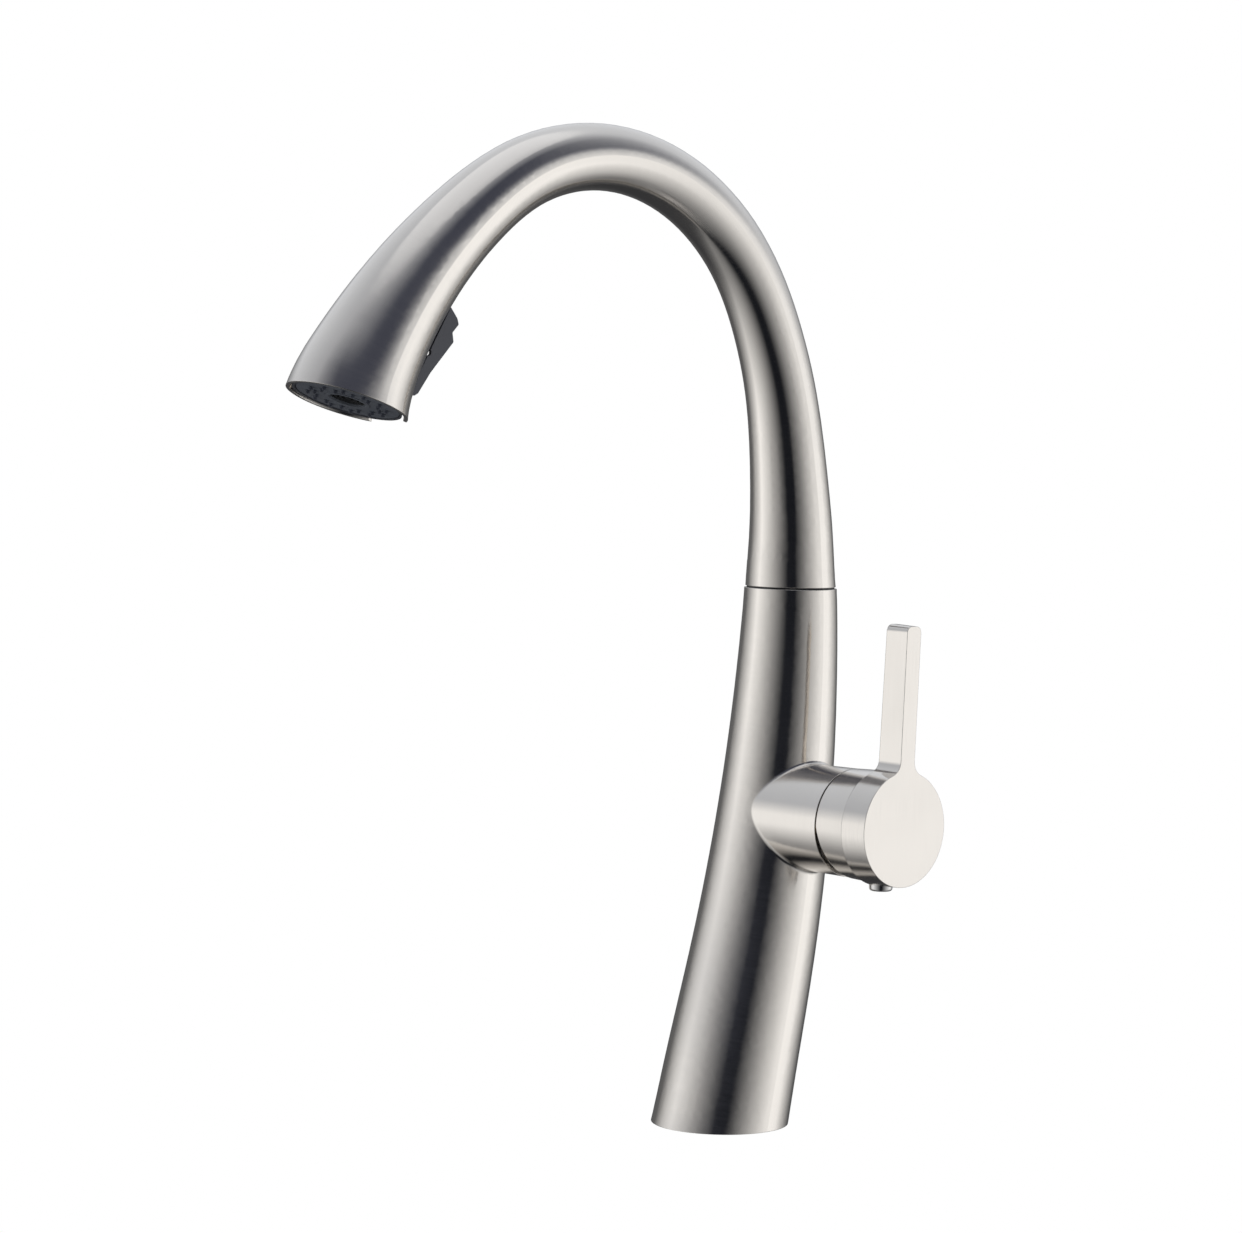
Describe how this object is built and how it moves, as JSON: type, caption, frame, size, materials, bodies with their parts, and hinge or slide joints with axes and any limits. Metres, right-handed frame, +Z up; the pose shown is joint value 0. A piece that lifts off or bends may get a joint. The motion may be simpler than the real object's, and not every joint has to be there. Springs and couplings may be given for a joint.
{
  "type": "pull down kitchen faucet",
  "caption": "Curved brushed steel kitchen mixer with a swivelling spout, a side lever and a spray head on a hose that pulls out of the flared mouth.",
  "frame": {"origin": "centre of the base on the deck", "axes": "+Z up out of the deck, the spout reaches towards -Y, the lever handle is on the +X side"},
  "size_m": [0.1027, 0.2778, 0.4055],
  "materials": {
    "steel": "brushed",
    "polished_steel": "polished",
    "tube_steel": "drawn",
    "brass": "machined",
    "grey_plastic": "moulded satin",
    "black_plastic": "moulded",
    "white_plastic": "moulded",
    "ceramic": "lapped ceramic",
    "rubber": "matt",
    "nozzle_rubber": "soft matt",
    "braided_hose": "braided nylon"
  },
  "bodies": {
    "base": {"body_shell": "steel", "base_insert": "brass", "base_gasket": "rubber", "valve_manifold": "brass", "cold_supply_tube": "tube_steel", "hot_supply_tube": "tube_steel", "mixed_outlet_tube": "tube_steel", "cartridge_base": "white_plastic", "port_seals": "rubber", "fixed_disc": "ceramic", "cartridge_housing": "white_plastic", "cartridge_nut": "brass", "dome_ring": "polished_steel", "swivel_sleeve": "brass", "sleeve_seals": "rubber", "slip_ring": "black_plastic", "snap_ring": "polished_steel"},
    "mixer": {"cartridge_rotor": "white_plastic", "stem_pin": "polished_steel"},
    "lever": {"stem": "polished_steel", "handle": "steel", "set_screw": "polished_steel", "screw_plug": "polished_steel"},
    "valve_disc": {"moving_disc": "ceramic", "disc_carrier": "white_plastic"},
    "spout": {"spout_shell": "steel", "spout_collar": "brass", "dock_liner": "black_plastic", "pull_hose": "braided_hose"},
    "spray_head": {"spray_body": "grey_plastic", "spray_face": "grey_plastic", "nozzle_pad": "nozzle_rubber", "aerator_housing": "grey_plastic", "aerator_insert": "black_plastic", "flow_divider": "black_plastic", "hose_coupling": "brass", "check_valve": "white_plastic", "coupling_washer": "rubber", "rocker_pin": "polished_steel"},
    "spray_button": {"rocker_button": "grey_plastic"},
    "diverter": {"diverter_spool": "white_plastic", "spool_seals": "rubber"}
  },
  "joints": [
    {"name": "spout_swivel", "type": "hinge", "parent": "base", "child": "spout", "pos_m": [0, 0.03344, 0.22139], "axis": [0, 0, 1], "continuous": true, "deforming": ["pull_hose"]},
    {"name": "temperature_turn", "type": "hinge", "parent": "base", "child": "mixer", "pos_m": [0.033, 0.0271, 0.1273], "axis": [1, 0, 0], "range_deg": [-45, 45]},
    {"name": "flow_lift", "type": "hinge", "parent": "mixer", "child": "lever", "pos_m": [0.033, 0.0271, 0.1273], "axis": [0, 1, 0], "range_deg": [0, 12]},
    {"name": "disc_slide", "type": "slide", "parent": "mixer", "child": "valve_disc", "axis": [0, 0, 1], "range_m": [0, 0.0012]},
    {"name": "spray_pull", "type": "slide", "parent": "spout", "child": "spray_head", "axis": [0, -0.5, -0.866], "range_m": [0, 0.32], "deforming": ["pull_hose"]},
    {"name": "button_press", "type": "hinge", "parent": "spray_head", "child": "spray_button", "pos_m": [0, -0.1701, 0.31291], "axis": [1, 0, 0], "range_deg": [0, 6]},
    {"name": "spool_slide", "type": "slide", "parent": "spray_head", "child": "diverter", "axis": [0, -0.866, 0.5], "range_m": [0, 0.0013]}
  ],
  "couplings": [
    {"joint": "disc_slide", "follows": "flow_lift", "m_per_rad": 0.00445},
    {"joint": "spool_slide", "follows": "button_press", "m_per_rad": 0.012}
  ]
}
